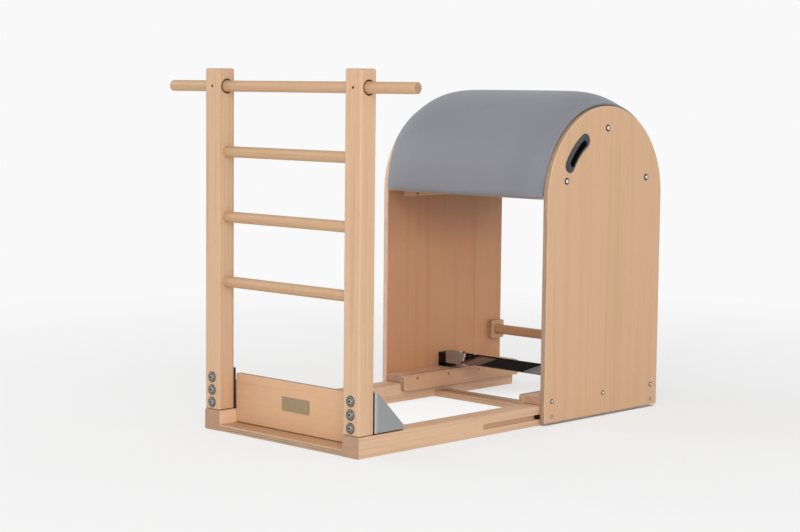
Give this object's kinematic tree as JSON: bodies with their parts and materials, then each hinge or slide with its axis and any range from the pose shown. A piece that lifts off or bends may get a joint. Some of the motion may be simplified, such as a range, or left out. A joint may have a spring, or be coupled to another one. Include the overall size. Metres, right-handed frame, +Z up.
{
  "type": "pilates ladder barrel",
  "caption": "Maple ladder on a low base with a padded half barrel that slides along the base rails and is latched by a foot treadle.",
  "frame": {"origin": "centre of the bounding box's footprint, on the floor", "axes": "+X across to the right seen from the ladder, +Y from the ladder to the barrel, +Z up"},
  "size_m": [0.956, 1.2878, 1],
  "materials": {
    "maple": "clear satin lacquer on maple",
    "plywood": "clear satin lacquer on maple-faced plywood",
    "inner_plywood": "unlacquered plywood",
    "grey_vinyl": "matt upholstery vinyl over foam",
    "grey_paint": "satin powder coat",
    "steel": "bright zinc",
    "black_steel": "black oxide",
    "black_plastic": "moulded, satin",
    "black_rubber": "ribbed rubber",
    "aluminium": "clear anodised",
    "brass": "brushed brass"
  },
  "bodies": {
    "base": {"post_left": "maple", "top_rod_sleeve_left": "maple", "set_screw_left": "black_steel", "post_right": "maple", "top_rod_sleeve_right": "maple", "set_screw_right": "black_steel", "top_rod": "maple", "rung_upper": "maple", "rung_middle": "maple", "rung_lower": "maple", "rail_left": "maple", "gusset_left": "grey_paint", "post_bolt_left_upper": "steel", "post_bolt_left_middle": "steel", "post_bolt_left_lower": "steel", "rail_right": "maple", "gusset_right": "grey_paint", "post_bolt_right_upper": "steel", "post_bolt_right_middle": "steel", "post_bolt_right_lower": "steel", "foot_board": "plywood", "kick_board": "plywood", "name_plate": "brass", "cross_board": "maple"},
    "carriage": {"panel_left": "plywood", "hand_grip_left": "black_plastic", "runner_left": "plywood", "guide_board_left": "plywood", "glide_front_left": "black_plastic", "glide_back_left": "black_plastic", "panel_right": "plywood", "hand_grip_right": "black_plastic", "runner_right": "plywood", "guide_board_right": "plywood", "glide_front_right": "black_plastic", "glide_back_right": "black_plastic", "barrel_shell": "inner_plywood", "barrel_pad": "grey_vinyl", "rib_centre": "inner_plywood", "rib_left": "inner_plywood", "cleat_left": "maple", "rear_block_left": "plywood", "rib_right": "inner_plywood", "cleat_right": "maple", "rear_block_right": "plywood", "rear_rod": "maple", "shaft_bearing_left": "black_plastic", "latch_hood_left": "grey_paint", "shaft_bearing_right": "black_plastic", "latch_hood_right": "grey_paint"},
    "treadle": {"treadle_shaft": "steel", "treadle_plate": "aluminium", "treadle_mat": "black_rubber", "treadle_hub_left": "black_plastic", "treadle_hub_right": "black_plastic"},
    "pin_left": {"latch_pin_left": "steel"},
    "pin_right": {"latch_pin_right": "steel"}
  },
  "joints": [
    {"name": "carriage_slide", "type": "slide", "parent": "base", "child": "carriage", "axis": [0, 1, 0], "range_m": [-0.216, 0]},
    {"name": "treadle_rock", "type": "hinge", "parent": "carriage", "child": "treadle", "pos_m": [0, 0.3241, 0.11], "axis": [-1, 0, 0], "range_deg": [0, 16]},
    {"name": "pin_left_drop", "type": "slide", "parent": "carriage", "child": "pin_left", "axis": [0, 0, -1], "range_m": [0, 0.0126]},
    {"name": "pin_right_drop", "type": "slide", "parent": "carriage", "child": "pin_right", "axis": [0, 0, -1], "range_m": [0, 0.0126]}
  ],
  "couplings": [
    {"joint": "pin_left_drop", "follows": "treadle_rock", "m_per_rad": 0.04486},
    {"joint": "pin_right_drop", "follows": "treadle_rock", "m_per_rad": 0.04486}
  ]
}
